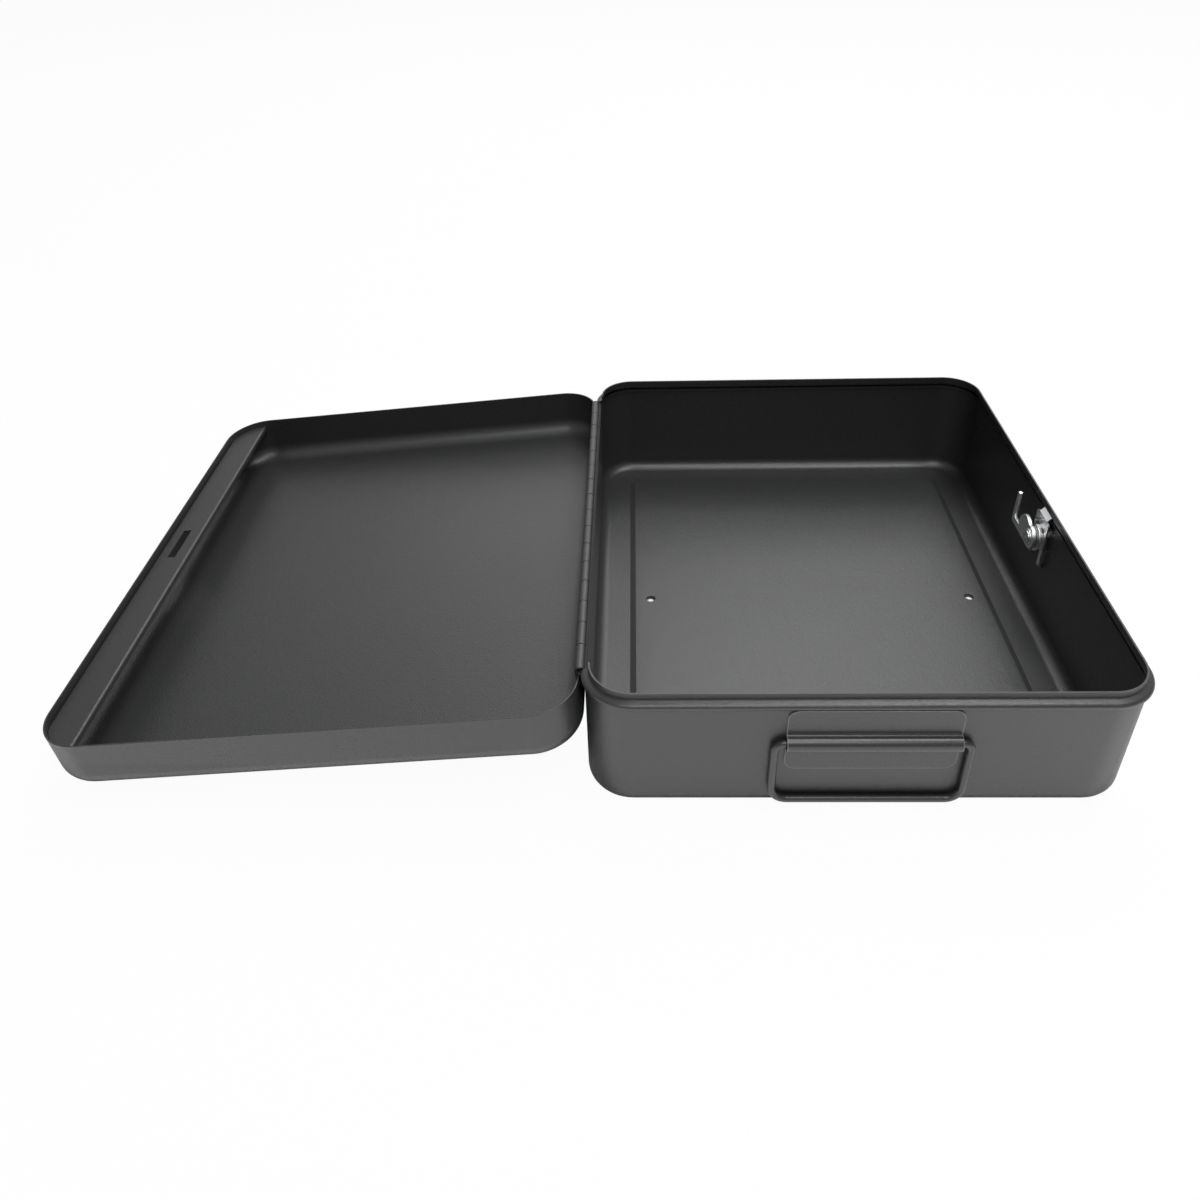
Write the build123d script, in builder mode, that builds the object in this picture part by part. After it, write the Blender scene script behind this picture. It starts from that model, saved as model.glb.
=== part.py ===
from build123d import *
import os
from math import cos, radians, sin, sqrt

os.makedirs("parts", exist_ok=True)

# A drawn steel security box, lying open. Millimetres.
# X runs from the hinge side to the lock side, Y runs along the hinge and away from the handle, Z is up.
# The origin is the centre of the underside, halfway between the two fixing holes.

# ---------------------------------------------------------------- driving dimensions

# base tray
base_width = 270.0          # outer faces of the walls, hinge side to lock side
base_length = 325.0         # outer faces of the walls, along the hinge
base_height = 75.0          # underside to rim
sheet = 0.9                 # steel sheet of both trays
corner_radius = 23.5        # upright corners, outer face
base_edge_radius = 8.0      # floor to wall, outer face
collar_inset = 1.9          # the collar stands this far inside the wall
collar_height = 4.4         # rim to the top of the bead
bead_proud = 2.0            # the bead stands this far outside the wall
bead_height = 3.8
panel_margin_x = 21.5       # outer face of the wall to the foot of the raised floor panel
panel_margin_y = 19.0
panel_rise = 1.3
panel_slope = 3.8           # width of the sloping edge of the panel
panel_corner = 7.0
fixing_spacing = 201.0
fixing_radius = 2.1
dimple_width = 1.0          # the dimple's mouth is this much wider than the hole, all round

# hinge
knuckle_count = 16
knuckle_pitch = 17.25
knuckle_radius = 2.5
knuckle_gap = 0.5
leaf = 0.9                  # sheet of the hinge leaves
leaf_drop = 9.0             # axis to the free edge of a leaf
notch_drop = 3.2            # axis to the bottom of a notch in a leaf
pin_clearance = 0.05
pin_recess = 2.5            # the pin ends this far inside the barrel
axis_below_rim = 6.2        # rim of the base to the hinge axis
leaf_relief = 0.1           # the lid's leaf stands this much nearer the axis than the base's
lid_clearance = 0.2         # barrel to the rim of the lid
open_angle = 5.0            # the open lid lies this many degrees past flat

# lid tray
lid_depth = 32.0            # rim to the outer face of the panel
lid_edge_radius = 11.5
strip_width = 20.0
strip_lip = 3.0             # folded inner edge of the lock strip
strip_flange = 10.0         # flange of the lock strip, against the wall
strip_gap = 0.3             # lock strip to the wall of the lid, and to the rim of the base
strip_bend = 1.6            # outer radius of the strip's bends
slot_length = 29.0
slot_width = 5.2
slot_end = 2.2              # lock axis to the near end of the slot, along the hinge

# handle
handle_shift = 3.0          # middle of the handle to the middle of the short wall, to the lock side
plate_width = 83.0
plate_height = 39.0
plate_gap = 0.3             # top of the plate to the bead
plate_corner = 6.0
plate_sheet = 1.0
roll_radius = 4.2           # outer radius of the rolled channel
roll_drop = 0.5             # the roll's axis below the plate's middle line
wire_radius = 2.0
wire_stand = 0.3            # the hanging bail stands this far off the wall
bail_width = 97.5           # outside of the wire
bail_drop = 41.0            # middle of the roll to the outside of the lower bar
bail_top_bend = 5.0         # bends of the wire, at its middle line
bail_low_bend = 8.0

# lock
lock_shift = -4.5           # middle of the lock to the middle of the wall; negative towards the handle
lock_drop = 23.5            # rim to the lock's axis
housing_radius = 8.0
housing_flat = 7.0          # axis to each flat of the housing
housing_depth = 4.2         # inner face of the wall to the housing's inner end
housing_clearance = 0.1     # to the hole in the wall
head_radius = 10.5
head_height = 3.4
head_round = 1.2
plug_radius = 6.0
plug_head_radius = 6.9
plug_head_length = 1.4
plug_proud = 0.2            # the plug's face stands this far out of the head
plug_clearance = 0.05
tail_side = 5.0             # square tail of the plug
keyway_width = 1.4
keyway_height = 7.6
wafer_count = 4
wafer_pitch = 1.8
wafer_thickness = 1.1
wafer_width = 5.4
wafer_lug = 1.3
wafer_play = 0.06
wafer_length = 10.4
wafer_window = 2.6
wafer_window_height = 5.0
spring_radius = 0.45
spring_wire = 0.13
spring_turns = 5
channel_depth = 0.7         # the housing is cut this deep for raised wafers
clip_sheet = 0.8
clip_stand = 2.0            # inner face of the wall to the clip's near face
clip_half_width = 9.5
clip_crown = 14.5           # lock axis to the bend of the tab
clip_tab_width = 12.0
clip_leg_drop = 14.5        # lock axis to the end of a leg
clip_groove = 0.7           # depth of the housing's grooves
clip_play = 0.05
stop_radius = 8.5
stop_thickness = 1.0
stop_lug_inner = 6.95       # the housing's stop lug, from the lock axis
stop_lug_angle = 28
stop_turn = 90
stop_play = 2               # degrees left at each end of the turn
wave_radius = 6.4
wave_rise = 1.1
wave_sheet = 0.4
cam_sheet = 2.0
cam_hub_radius = 7.2
cam_lobe_radius = 9.0       # the plate swells between the hub and the arm
cam_lobe_out = 8.3          # lock axis to the middle of the swell, along the arm
cam_reach = 28.2            # lock axis to the outer edge of the finger
cam_finger_width = 3.2
cam_finger_height = 21.6    # from the lower edge of the arm to the finger's tip
cam_arm_low = 6.8           # lock axis to the lower edge of the arm
cam_arm_width = 4.2
cam_washer_radius = 4.9
cam_washer_sheet = 0.6
stake_radius = 3.7          # spread end of the plug's tail
stake_height = 0.7
square_clearance = 0.05
seat_clearance = 0.1        # along the lock's axis, between its stacked pieces

# ---------------------------------------------------------------- places that follow from them

rim_z = base_height
bead_top = rim_z - collar_height
bead_middle = bead_top - bead_height / 2
wall_x = base_width / 2
plate_middle = bead_top - bead_height - plate_gap - plate_height / 2
lock_height = rim_z - lock_drop
hinge_x = -wall_x - knuckle_radius
hinge_z = rim_z - axis_below_rim
hinge_length = knuckle_count * knuckle_pitch
bore_radius = knuckle_radius - leaf
lid_width = base_width + 2 * bead_proud
lid_length = base_length + 2 * bead_proud
lid_corner = corner_radius + bead_proud
lid_near = knuckle_radius - leaf - leaf_relief - sheet   # axis to the lid's outer face, hinge side
lid_rim = -(knuckle_radius + lid_clearance)              # rim of the lid in the lid's own frame
lid_floor = lid_rim - lid_depth
strip_face = -(rim_z + strip_gap - hinge_z)              # strip's outer face in the lid's own frame
lock_x = wall_x - sheet                                  # inner face of the lock-side wall
housing_end = lock_x - housing_depth
stop_outer = housing_end - seat_clearance
wave_outer = stop_outer - stop_thickness - seat_clearance
cam_outer = wave_outer - wave_rise - seat_clearance
cam_inner = cam_outer - cam_sheet
washer_inner = cam_inner - seat_clearance - cam_washer_sheet
head_face = wall_x + head_height
plug_face = head_face + plug_proud
plug_shoulder = plug_face - plug_head_length
first_wafer = plug_shoulder - 0.8                        # middle of the wafer nearest the face
clip_outer = lock_x - clip_stand
bail_y = -base_length / 2 - wire_radius - wire_stand
bail_z = plate_middle - roll_drop

# The lid's own frame: X points from the axis towards the base, so the open lid lies at negative x.
# Y is the hinge's direction and Z is the outward side of its mouth.
lid_plane = Plane(
    origin=(hinge_x, 0, hinge_z),
    x_dir=(cos(radians(open_angle)), 0, sin(radians(open_angle))),
    z_dir=(-sin(radians(open_angle)), 0, cos(radians(open_angle))),
)
lid_middle = -(lid_near + lid_width / 2)                 # x of the lid's middle in that frame
lid_up = Axis(lid_plane.origin, lid_plane.z_dir)


# ---------------------------------------------------------------- shared shapes

def lock_plane(x):
    """A plane across the lock's axis: its x points along the hinge, its y up, its normal outwards."""
    return Plane(origin=(x, lock_shift, lock_height), x_dir=(0, 1, 0), z_dir=(1, 0, 0))


def knuckle_places(first):
    """Middles, along the hinge, of every second knuckle, starting with number `first`."""
    end = hinge_length / 2 - knuckle_pitch / 2
    return [(0, end - i * knuckle_pitch) for i in range(first, knuckle_count, 2)]


def bead_form(grow, height, flush_x, end_y):
    """A slab of the base's outline, grown by `grow`, with both long edges fully rounded.

    Along the hinge, up to `end_y` each way, the slab goes no further out than `flush_x`.
    """
    with BuildPart() as slab:
        with BuildSketch(Plane.XY.offset(bead_middle - height / 2)):
            RectangleRounded(base_width + 2 * grow, base_length + 2 * grow, corner_radius + grow)
        extrude(amount=height)
        fillet(slab.faces().filter_by(Axis.Z).edges(), 0.49 * height)
        with BuildSketch(Plane.XY.offset(bead_middle - height)):
            with Locations((flush_x - base_width / 2, 0)):
                Rectangle(base_width, 2 * end_y)
        extrude(amount=2 * height, mode=Mode.SUBTRACT)
    return slab.part


def panel_form(level):
    """The raised floor panel as a frustum whose foot is at `level`."""
    foot_x = base_width - 2 * panel_margin_x
    foot_y = base_length - 2 * panel_margin_y
    top_corner = panel_corner - panel_slope / 2
    with BuildPart() as form:
        with BuildSketch(Plane.XY.offset(level)):
            RectangleRounded(foot_x, foot_y, panel_corner)
        with BuildSketch(Plane.XY.offset(level + panel_rise)):
            RectangleRounded(foot_x - 2 * panel_slope, foot_y - 2 * panel_slope, top_corner)
        loft()
    return form.part


def hinge_leaf(plane, side, first, relief):
    """A hinge leaf with its curled knuckles; the origin of `plane` lies on the axis.

    `side` is +1 for a leaf whose sheet lies at positive x, `first` is its first knuckle.
    """
    with BuildPart() as form:
        with BuildSketch(Plane(origin=plane.origin, x_dir=plane.x_dir, z_dir=plane.y_dir)):
            # the y of this sketch points down, to the free edge of the leaf
            Circle(knuckle_radius)
            with Locations((side * (knuckle_radius - leaf / 2 - relief), leaf_drop / 2)):
                Rectangle(leaf, leaf_drop)
            Circle(bore_radius, mode=Mode.SUBTRACT)
        extrude(amount=hinge_length / 2, both=True)
        with BuildSketch(plane.offset(-notch_drop)):
            with Locations(*knuckle_places(1 - first)):
                Rectangle(4 * knuckle_radius, knuckle_pitch + knuckle_gap)
        extrude(amount=2 * notch_drop, mode=Mode.SUBTRACT)
    return form.part


# ---------------------------------------------------------------- base shell

with BuildPart() as base_outside:
    with BuildSketch():
        RectangleRounded(base_width, base_length, corner_radius)
    extrude(amount=bead_top)
    fillet(base_outside.faces().sort_by(Axis.Z)[0].edges(), base_edge_radius)
    with BuildSketch(Plane.XY.offset(bead_top)):
        RectangleRounded(
            base_width - 2 * collar_inset, base_length - 2 * collar_inset, corner_radius - collar_inset
        )
    extrude(amount=collar_height)

with BuildPart() as base_cavity:
    with BuildSketch(Plane.XY.offset(sheet)):
        RectangleRounded(base_width - 2 * sheet, base_length - 2 * sheet, corner_radius - sheet)
    extrude(amount=bead_top - 2 * sheet)
    fillet(base_cavity.faces().sort_by(Axis.Z)[0].edges(), base_edge_radius - sheet)
    with BuildSketch(Plane.XY.offset(bead_middle)):
        RectangleRounded(
            base_width - 2 * (collar_inset + sheet),
            base_length - 2 * (collar_inset + sheet),
            corner_radius - collar_inset - sheet,
        )
    extrude(amount=rim_z + sheet - bead_middle)

bead_end = hinge_length / 2 + knuckle_gap
bead_outside = bead_form(bead_proud, bead_height, -wall_x, bead_end)
bead_groove = bead_form(bead_proud - sheet, bead_height - 2 * sheet, -lock_x, bead_end + sheet)
panel_inside = panel_form(sheet)
panel_recess = panel_form(0)

with BuildPart() as base_shell:
    add(base_outside.part)
    add(bead_outside)
    add(base_cavity.part, mode=Mode.SUBTRACT)
    add(bead_groove, mode=Mode.SUBTRACT)
    add(panel_inside)
    add(panel_recess, mode=Mode.SUBTRACT)
    # a dimple round each fixing hole brings the floor back down to the underside
    for side in (-1, 1):
        with Locations((side * fixing_spacing / 2, 0, panel_rise / 2)):
            Cone(fixing_radius + dimple_width, fixing_radius + 2 * dimple_width, panel_rise)
            Cylinder(fixing_radius, panel_rise, mode=Mode.SUBTRACT)
        with Locations((side * fixing_spacing / 2, 0, panel_rise + sheet / 2)):
            Cone(fixing_radius, fixing_radius + dimple_width, sheet, mode=Mode.SUBTRACT)
    # the collar is cut away along the hinge, down to the plain wall
    with BuildSketch(Plane.XY.offset(bead_top - sheet)):
        with Locations((-wall_x, 0)):
            Rectangle(4 * (collar_inset + sheet), 2 * bead_end)
    extrude(amount=base_height, mode=Mode.SUBTRACT)
    # hole for the lock, with two flats
    with BuildSketch(lock_plane(lock_x - 1)):
        Circle(housing_radius + housing_clearance)
        Rectangle(
            2 * (housing_flat + housing_clearance), 3 * housing_radius, mode=Mode.INTERSECT
        )
    extrude(amount=sheet + 2, mode=Mode.SUBTRACT)
base_shell.part.label = "base_shell"
export_step(base_shell.part, "parts/base_shell.step")

# ---------------------------------------------------------------- hinge

base_leaf_form = hinge_leaf(Plane(origin=(hinge_x, 0, hinge_z)), 1, 0, 0)
lid_leaf_form = hinge_leaf(lid_plane, -1, 1, leaf_relief)

with BuildPart() as hinge_leaf_base:
    add(base_leaf_form)
hinge_leaf_base.part.label = "hinge_leaf_base"
export_step(hinge_leaf_base.part, "parts/hinge_leaf_base.step")

with BuildPart() as hinge_leaf_lid:
    add(lid_leaf_form)
hinge_leaf_lid.part.label = "hinge_leaf_lid"
export_step(hinge_leaf_lid.part, "parts/hinge_leaf_lid.step")

with BuildPart() as hinge_pin:
    with BuildSketch(Plane(origin=(hinge_x, 0, hinge_z), x_dir=(1, 0, 0), z_dir=(0, 1, 0))):
        Circle(bore_radius - pin_clearance)
    extrude(amount=hinge_length / 2 - pin_recess, both=True)
    chamfer(hinge_pin.edges().filter_by(GeomType.CIRCLE), 0.3)
hinge_pin.part.label = "hinge_pin"
export_step(hinge_pin.part, "parts/hinge_pin.step")

# ---------------------------------------------------------------- lid shell

with BuildPart() as lid_shell:
    with BuildSketch(lid_plane.offset(lid_floor)):
        with Locations((lid_middle, 0)):
            RectangleRounded(lid_width, lid_length, lid_corner)
    extrude(amount=lid_depth)
    fillet(lid_shell.faces().sort_by(lid_up)[0].edges(), lid_edge_radius)
    offset(amount=-sheet, openings=lid_shell.faces().sort_by(lid_up)[-1])
lid_shell.part.label = "lid_shell"
export_step(lid_shell.part, "parts/lid_shell.step")

# ---------------------------------------------------------------- lock strip

strip_inset = sheet + strip_gap
strip_far = -(lid_near + lid_width - strip_inset)        # x of its edge along the lock-side wall
strip_near = strip_far + strip_width
slot_middle = (cam_outer + cam_inner) / 2 - hinge_x      # distance of the slot's middle line from the axis

with BuildPart() as lock_strip:
    # the folded section, run along the lid: lip, shelf and flange
    with BuildSketch(Plane(origin=lid_plane.origin, x_dir=lid_plane.x_dir, z_dir=-lid_plane.y_dir)):
        with BuildLine():
            FilletPolyline(
                (strip_near - sheet / 2, strip_face - strip_lip),
                (strip_near - sheet / 2, strip_face - sheet / 2),
                (strip_far + sheet / 2, strip_face - sheet / 2),
                (strip_far + sheet / 2, strip_face - strip_flange),
                radius=strip_bend - sheet / 2,
            )
            offset(amount=sheet / 2, kind=Kind.INTERSECTION)
        make_face()
    extrude(amount=lid_length / 2, both=True)
    # its ends follow the lid's rounded corners
    with BuildSketch(lid_plane.offset(lid_floor)):
        with Locations((lid_middle, 0)):
            RectangleRounded(
                lid_width - 2 * strip_inset, lid_length - 2 * strip_inset, lid_corner - strip_inset
            )
    extrude(amount=lid_depth, mode=Mode.INTERSECT)
    with BuildSketch(lid_plane.offset(strip_face + 1)):
        with Locations((-slot_middle, lock_shift + slot_end + slot_length / 2)):
            Rectangle(slot_width, slot_length)
    extrude(amount=-sheet - 1.5, mode=Mode.SUBTRACT)
lock_strip.part.label = "lock_strip"
export_step(lock_strip.part, "parts/lock_strip.step")

# ---------------------------------------------------------------- handle plate

with BuildPart() as handle_plate:
    # section across the plate: a flat sheet with a rolled channel along its middle
    with BuildSketch(Plane(origin=(handle_shift, 0, 0), x_dir=(0, 1, 0), z_dir=(1, 0, 0))):
        with Locations((bail_y, bail_z)):
            Circle(roll_radius)
        with Locations((-base_length / 2 - plate_sheet / 2, plate_middle)):
            Rectangle(plate_sheet, plate_height)
        with Locations((bail_y, bail_z)):
            Circle(roll_radius - plate_sheet, mode=Mode.SUBTRACT)
        with Locations((-base_length / 2 + roll_radius, plate_middle)):
            Rectangle(2 * roll_radius, plate_height, mode=Mode.SUBTRACT)
    extrude(amount=plate_width / 2, both=True)
    with BuildSketch(Plane(origin=(handle_shift, 0, plate_middle), x_dir=(1, 0, 0), z_dir=(0, -1, 0))):
        RectangleRounded(plate_width, plate_height, plate_corner)
    extrude(amount=base_length, mode=Mode.INTERSECT)
handle_plate.part.label = "handle_plate"
export_step(handle_plate.part, "parts/handle_plate.step")

# ---------------------------------------------------------------- bail handle

leg_x = bail_width / 2 - wire_radius
bar_z = -bail_drop + wire_radius
leg_z = bar_z / 2
bail_plane = Plane(origin=(handle_shift, bail_y, bail_z), x_dir=(1, 0, 0), z_dir=(0, -1, 0))
leg_plane = Plane(origin=(handle_shift - leg_x, bail_y, bail_z + leg_z), x_dir=(1, 0, 0), z_dir=(0, 0, 1))

with BuildPart() as bail_handle:
    with BuildLine(bail_plane) as bail_path:
        FilletPolyline(
            (-leg_x, leg_z), (-leg_x, 0), (leg_x, 0), (leg_x, leg_z), radius=bail_top_bend
        )
        FilletPolyline(
            (leg_x, leg_z), (leg_x, bar_z), (-leg_x, bar_z), (-leg_x, leg_z), radius=bail_low_bend
        )
    with BuildSketch(leg_plane):
        Circle(wire_radius)
    sweep(path=bail_path.wires()[0])
bail_handle.part.label = "bail_handle"
export_step(bail_handle.part, "parts/bail_handle.step")

# ---------------------------------------------------------------- lock housing

with BuildPart() as lock_housing:
    with BuildSketch(lock_plane(housing_end)):
        Circle(housing_radius)
        Rectangle(2 * housing_flat, 3 * housing_radius, mode=Mode.INTERSECT)
    extrude(amount=wall_x - housing_end)
    with BuildSketch(lock_plane(wall_x)):
        Circle(head_radius)
    extrude(amount=head_height)
    fillet(lock_housing.faces().sort_by(Axis.X)[-1].edges(), head_round)
    # lug that stops the turn
    with BuildSketch(lock_plane(housing_end)):
        with BuildLine():
            lug_start = 90 - stop_lug_angle / 2
            outer_arc = CenterArc((0, 0), housing_radius, lug_start, stop_lug_angle)
            inner_arc = CenterArc((0, 0), stop_lug_inner, lug_start, stop_lug_angle)
            Line(outer_arc @ 0, inner_arc @ 0)
            Line(outer_arc @ 1, inner_arc @ 1)
        make_face()
    extrude(amount=-stop_thickness)
    # bore for the plug, seat for its head, and room for raised wafers
    with BuildSketch(lock_plane(housing_end)):
        Circle(plug_radius + plug_clearance)
        Rectangle(
            wafer_width + 4 * wafer_play, 2 * (plug_radius + channel_depth)
        )
    extrude(amount=plug_shoulder - 1 - housing_end, mode=Mode.SUBTRACT)
    with BuildSketch(lock_plane(plug_shoulder - 1)):
        Circle(plug_radius + plug_clearance)
    extrude(amount=1, mode=Mode.SUBTRACT)
    with BuildSketch(lock_plane(plug_shoulder - seat_clearance)):
        Circle(plug_head_radius + plug_clearance)
    extrude(amount=head_height, mode=Mode.SUBTRACT)
    # grooves for the legs of the clip
    groove_edge = housing_flat - clip_groove
    with BuildSketch(lock_plane(clip_outer + clip_play)):
        for side in (-1, 1):
            with Locations((side * (groove_edge + housing_radius), 0)):
                Rectangle(2 * housing_radius, 3 * housing_radius)
    extrude(amount=-clip_sheet - 2 * clip_play, mode=Mode.SUBTRACT)
lock_housing.part.label = "lock_housing"
export_step(lock_housing.part, "parts/lock_housing.step")

# ---------------------------------------------------------------- lock clip

clip_inner_half = groove_edge + clip_play
clip_reach = clip_outer - clip_sheet - lock_x            # from the wall to the clip's far face

with BuildPart() as lock_clip:
    with BuildSketch(lock_plane(clip_outer)):
        with Locations((0, (clip_crown - clip_leg_drop) / 2)):
            Rectangle(2 * clip_half_width, clip_crown + clip_leg_drop)
        with Locations((0, housing_radius + 2 * clip_play - clip_leg_drop)):
            Rectangle(2 * clip_inner_half, 2 * clip_leg_drop, mode=Mode.SUBTRACT)
    extrude(amount=-clip_sheet)
    fillet(lock_clip.edges().filter_by(Axis.X).group_by(Axis.Z)[-1], 2.0)
    # the tab above and the tips below slope back to the wall and brace the clip
    slope_run = clip_stand
    with BuildSketch(Plane(origin=(lock_x, lock_shift, lock_height), x_dir=(1, 0, 0), z_dir=(0, -1, 0))):
        with BuildLine():
            Polyline(
                (-clip_stand - clip_sheet, clip_crown - 0.6),
                (-clip_stand, clip_crown - 0.6),
                (-clip_stand, clip_crown),
                (0, clip_crown + slope_run),
                (0, clip_crown + slope_run + clip_sheet * sqrt(2)),
                (-clip_stand - clip_sheet, clip_crown + clip_sheet * (sqrt(2) - 1)),
                close=True,
            )
        make_face()
    extrude(amount=clip_tab_width / 2, both=True)
    with BuildSketch(Plane(origin=(lock_x, lock_shift, lock_height), x_dir=(1, 0, 0), z_dir=(0, -1, 0))):
        with BuildLine():
            Polyline(
                (-clip_stand - clip_sheet, -clip_leg_drop + 0.6),
                (-clip_stand, -clip_leg_drop + 0.6),
                (-clip_stand, -clip_leg_drop),
                (0, -clip_leg_drop - slope_run),
                (0, -clip_leg_drop - slope_run - clip_sheet * sqrt(2)),
                (-clip_stand - clip_sheet, -clip_leg_drop - clip_sheet * (sqrt(2) - 1)),
                close=True,
            )
        make_face()
    extrude(amount=clip_half_width, both=True)
    with BuildSketch(lock_plane(clip_outer - clip_sheet)):
        with Locations((0, -clip_leg_drop)):
            Rectangle(2 * clip_inner_half, 2 * clip_leg_drop)
    extrude(amount=clip_sheet + clip_stand, mode=Mode.SUBTRACT)
lock_clip.part.label = "lock_clip"
export_step(lock_clip.part, "parts/lock_clip.step")

# ---------------------------------------------------------------- lock plug

wafer_places = [first_wafer - i * wafer_pitch for i in range(wafer_count)]
plug_end = housing_end - seat_clearance / 2
tail_end = washer_inner - seat_clearance
pocket_y = wafer_width / 2 + wafer_lug / 2
lug_low = -0.6
lug_high = 0.8
lug_travel = 0.6
pocket_low = -4.2

with BuildPart() as lock_plug:
    with BuildSketch(lock_plane(plug_end)):
        Circle(plug_radius)
    extrude(amount=plug_shoulder - plug_end)
    with BuildSketch(lock_plane(plug_shoulder)):
        Circle(plug_head_radius)
    extrude(amount=plug_head_length)
    chamfer(lock_plug.faces().sort_by(Axis.X)[-1].edges(), 0.3)
    with BuildSketch(lock_plane(tail_end)):
        Rectangle(tail_side, tail_side)
    extrude(amount=plug_end - tail_end)
    # the tail's end is spread over the washer, with a centre mark
    with BuildSketch(lock_plane(tail_end)):
        Circle(stake_radius)
    extrude(amount=-stake_height)
    fillet(lock_plug.faces().sort_by(Axis.X)[0].edges(), 0.4)
    with Locations(Plane(origin=(tail_end - stake_height, lock_shift, lock_height), z_dir=(1, 0, 0))):
        Cone(1.4, 0.2, 1.2, mode=Mode.SUBTRACT)
    # keyway
    keyway_end = wafer_places[-1] - wafer_thickness
    with BuildSketch(lock_plane(plug_face)):
        Rectangle(keyway_width, keyway_height)
    extrude(amount=keyway_end - plug_face, mode=Mode.SUBTRACT)
    for place in wafer_places:
        with BuildSketch(lock_plane(place - wafer_thickness / 2 - wafer_play)):
            Rectangle(wafer_width + 2 * wafer_play, 3 * plug_radius)
            with Locations((pocket_y, (lug_low + lug_high + lug_travel) / 2)):
                Rectangle(
                    wafer_lug + 2 * wafer_play + 0.02, lug_high - lug_low + lug_travel + 2 * wafer_play
                )
        extrude(amount=wafer_thickness + 2 * wafer_play, mode=Mode.SUBTRACT)
        with Locations((place, lock_shift + pocket_y, lock_height + (pocket_low + lug_low) / 2)):
            Cylinder(spring_radius + spring_wire + 0.05, lug_low - pocket_low, mode=Mode.SUBTRACT)
lock_plug.part.label = "lock_plug"
export_step(lock_plug.part, "parts/lock_plug.step")

# ---------------------------------------------------------------- wafers and their springs

spring_height = lug_low - pocket_low - 2 * wafer_play

for number, place in enumerate(wafer_places, start=1):
    with BuildPart() as wafer:
        with BuildSketch(lock_plane(place - wafer_thickness / 2)):
            Rectangle(wafer_width, wafer_length)
            with Locations((pocket_y, (lug_low + lug_high) / 2)):
                Rectangle(wafer_lug, lug_high - lug_low)
            Rectangle(wafer_window, wafer_window_height, mode=Mode.SUBTRACT)
        extrude(amount=wafer_thickness)
    wafer.part.label = f"wafer_{number}"
    export_step(wafer.part, f"parts/wafer_{number}.step")

    spring_foot = (place, lock_shift + pocket_y, lock_height + pocket_low + spring_wire + wafer_play)
    with BuildPart() as wafer_spring:
        with BuildLine():
            coil = Helix(
                pitch=(spring_height - 2 * spring_wire) / spring_turns,
                height=spring_height - 2 * spring_wire,
                radius=spring_radius,
                center=spring_foot,
            )
        with BuildSketch(Plane(origin=coil @ 0, z_dir=coil % 0)):
            Circle(spring_wire)
        sweep(path=coil, is_frenet=True)
    wafer_spring.part.label = f"wafer_spring_{number}"
    export_step(wafer_spring.part, f"parts/wafer_spring_{number}.step")

# ---------------------------------------------------------------- stop washer

square_hole = tail_side + 2 * square_clearance

with BuildPart() as stop_washer:
    with BuildSketch(lock_plane(stop_outer)):
        Circle(stop_radius)
        # the cut-out turns past the housing's lug
        with BuildLine():
            cut_start = 90 - stop_lug_angle / 2 - stop_turn - stop_play
            cut_size = stop_lug_angle + stop_turn + 2 * stop_play
            cut_outer = CenterArc((0, 0), 2 * stop_radius, cut_start, cut_size)
            cut_inner = CenterArc((0, 0), stop_lug_inner - 0.1, cut_start, cut_size)
            Line(cut_outer @ 0, cut_inner @ 0)
            Line(cut_outer @ 1, cut_inner @ 1)
        make_face(mode=Mode.SUBTRACT)
        Rectangle(square_hole, square_hole, mode=Mode.SUBTRACT)
    extrude(amount=-stop_thickness)
stop_washer.part.label = "stop_washer"
export_step(stop_washer.part, "parts/stop_washer.step")

# ---------------------------------------------------------------- spring washer

wave_bore = tail_side / sqrt(2) + 0.15

with BuildPart() as spring_washer:
    # a dished ring: its section is turned about the lock's axis
    with BuildSketch(Plane(origin=(0, lock_shift, lock_height), x_dir=(1, 0, 0), z_dir=(0, -1, 0))):
        with BuildLine():
            Polyline(
                (wave_outer - wave_rise, wave_bore),
                (wave_outer - wave_rise + wave_sheet, wave_bore),
                (wave_outer, wave_radius),
                (wave_outer - wave_sheet, wave_radius),
                close=True,
            )
        make_face()
    revolve(axis=Axis((0, lock_shift, lock_height), (1, 0, 0)))
spring_washer.part.label = "spring_washer"
export_step(spring_washer.part, "parts/spring_washer.step")

# ---------------------------------------------------------------- cam hook

with BuildPart() as cam_hook:
    with BuildSketch(lock_plane(cam_inner)):
        Circle(cam_hub_radius)
        with Locations((cam_lobe_out, 0)):
            Circle(cam_lobe_radius)
        with Locations((0, -cam_arm_low - cam_reach / 2)):
            Rectangle(4 * cam_reach, cam_reach, mode=Mode.SUBTRACT)
        with Locations((cam_reach / 2, cam_arm_width / 2 - cam_arm_low)):
            Rectangle(cam_reach, cam_arm_width)
        with Locations((cam_reach - cam_finger_width / 2, cam_finger_height / 2 - cam_arm_low)):
            Rectangle(cam_finger_width, cam_finger_height)
        Rectangle(square_hole, square_hole, mode=Mode.SUBTRACT)
    extrude(amount=cam_sheet)
    tip_edges = cam_hook.edges().filter_by(Axis.X).group_by(Axis.Z)[-1]
    fillet(tip_edges, 0.45 * cam_finger_width)
    elbow_edge = cam_hook.edges().filter_by(Axis.X).sort_by(Axis.Y)[-1]
    fillet(elbow_edge, 2.0)
cam_hook.part.label = "cam_hook"
export_step(cam_hook.part, "parts/cam_hook.step")

# ---------------------------------------------------------------- cam washer

with BuildPart() as cam_washer:
    with BuildSketch(lock_plane(washer_inner)):
        Circle(cam_washer_radius)
        Rectangle(square_hole, square_hole, mode=Mode.SUBTRACT)
    extrude(amount=cam_washer_sheet)
cam_washer.part.label = "cam_washer"
export_step(cam_washer.part, "parts/cam_washer.step")
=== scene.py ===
from math import atan, cos, pi, radians, sin

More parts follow.
